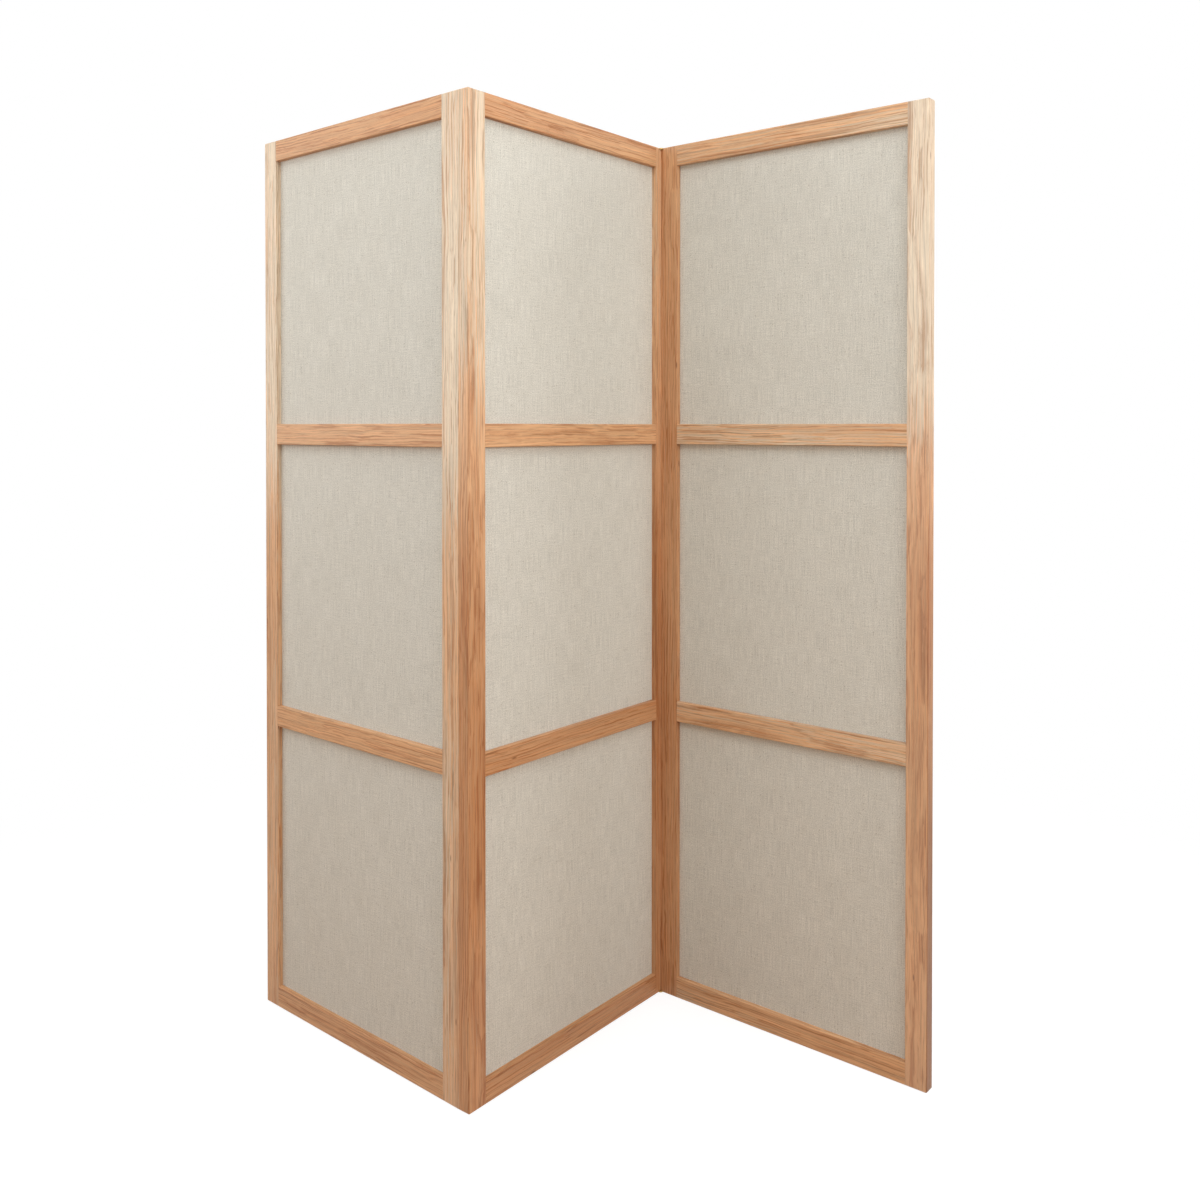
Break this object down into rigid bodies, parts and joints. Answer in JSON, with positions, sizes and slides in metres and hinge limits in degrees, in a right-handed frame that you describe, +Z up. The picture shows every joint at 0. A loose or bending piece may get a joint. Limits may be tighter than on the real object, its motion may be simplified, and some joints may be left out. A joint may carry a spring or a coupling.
{
  "type": "folding screen",
  "caption": "Free-standing wooden folding screen: flat oak frames with recessed linen fields, joined by leaf hinges in the stile ends, standing in a zigzag.",
  "frame": {"origin": "on the floor, at the middle of the middle panel's underside", "axes": "+Z up; -Y to the front, the side from which the fold between the left and the middle panel points at the viewer; +X to the viewer's right"},
  "size_m": [1.3107, 0.4858, 1.8],
  "materials": {
    "oak": "light oak, oiled, satin",
    "board": "thin plywood, covered",
    "linen": "natural linen, plain weave, matte",
    "hinge_brass": "aged brass, brushed",
    "screw_brass": "aged brass"
  },
  "bodies": {
    "left_panel": {"left_outer_stile": "oak", "left_inner_stile": "oak", "left_top_rail": "oak", "left_upper_rail": "oak", "left_lower_rail": "oak", "left_bottom_rail": "oak", "left_top_board": "board", "left_top_linen_front": "linen", "left_top_linen_back": "linen", "left_middle_board": "board", "left_middle_linen_front": "linen", "left_middle_linen_back": "linen", "left_bottom_board": "board", "left_bottom_linen_front": "linen", "left_bottom_linen_back": "linen", "left_hinge_top_eye_leaf": "hinge_brass", "left_hinge_bottom_eye_leaf": "hinge_brass", "left_leaf_screws": "screw_brass"},
    "middle_panel": {"middle_left_stile": "oak", "middle_right_stile": "oak", "middle_top_rail": "oak", "middle_upper_rail": "oak", "middle_lower_rail": "oak", "middle_bottom_rail": "oak", "middle_top_board": "board", "middle_top_linen_front": "linen", "middle_top_linen_back": "linen", "middle_middle_board": "board", "middle_middle_linen_front": "linen", "middle_middle_linen_back": "linen", "middle_bottom_board": "board", "middle_bottom_linen_front": "linen", "middle_bottom_linen_back": "linen", "left_hinge_top_pin_leaf": "hinge_brass", "left_hinge_bottom_pin_leaf": "hinge_brass", "middle_left_leaf_screws": "screw_brass", "right_hinge_top_pin_leaf": "hinge_brass", "right_hinge_bottom_pin_leaf": "hinge_brass", "middle_right_leaf_screws": "screw_brass"},
    "right_panel": {"right_inner_stile": "oak", "right_outer_stile": "oak", "right_top_rail": "oak", "right_upper_rail": "oak", "right_lower_rail": "oak", "right_bottom_rail": "oak", "right_top_board": "board", "right_top_linen_front": "linen", "right_top_linen_back": "linen", "right_middle_board": "board", "right_middle_linen_front": "linen", "right_middle_linen_back": "linen", "right_bottom_board": "board", "right_bottom_linen_front": "linen", "right_bottom_linen_back": "linen", "right_hinge_top_eye_leaf": "hinge_brass", "right_hinge_bottom_eye_leaf": "hinge_brass", "right_leaf_screws": "screw_brass"}
  },
  "joints": [
    {"name": "left_fold", "type": "hinge", "parent": "middle_panel", "child": "left_panel", "pos_m": [-0.17924, -0.20831, 0.9], "axis": [0, 0, -1], "range_deg": [0, 87.5]},
    {"name": "right_fold", "type": "hinge", "parent": "middle_panel", "child": "right_panel", "pos_m": [0.17924, 0.20831, 0.9], "axis": [0, 0, -1], "range_deg": [0, 89]}
  ]
}
